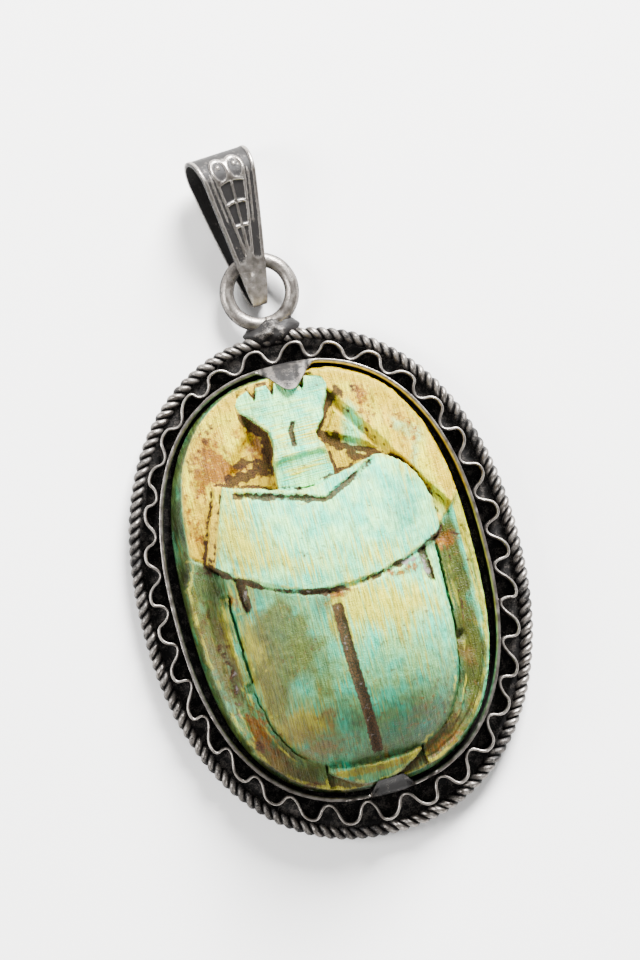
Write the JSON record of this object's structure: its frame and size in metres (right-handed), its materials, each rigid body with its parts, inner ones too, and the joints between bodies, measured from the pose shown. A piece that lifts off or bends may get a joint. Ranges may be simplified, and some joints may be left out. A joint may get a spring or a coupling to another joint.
{
  "type": "scarab amulet pendant",
  "caption": "Carved glazed-stone scarab amulet held face up in an oval silver pendant mount, with a crimped ribbon gallery, a twisted wire border, a jump ring and a folded strap bail.",
  "frame": {"origin": "middle of the back plate's flat underside, on the surface that the pendant lies on", "axes": "+Z out of the scarab's face, +Y along the scarab towards the bail, +X to the right seen from the front"},
  "size_m": [0.0242, 0.044, 0.0091],
  "materials": {
    "glazed_stone": "carved steatite with a worn pale turquoise glaze, ochre and brown in the cuts",
    "silver": "old silver, bright on worn edges and oxidised dark in the hollows",
    "dark_silver": "oxidised silver sheet, matt and nearly black"
  },
  "bodies": {
    "root": {"scarab": "glazed_stone", "back_plate": "dark_silver", "bezel": "silver", "wave_ribbon": "silver", "rope_border": "silver", "jump_ring": "silver", "bail": "silver"}
  },
  "joints": []
}
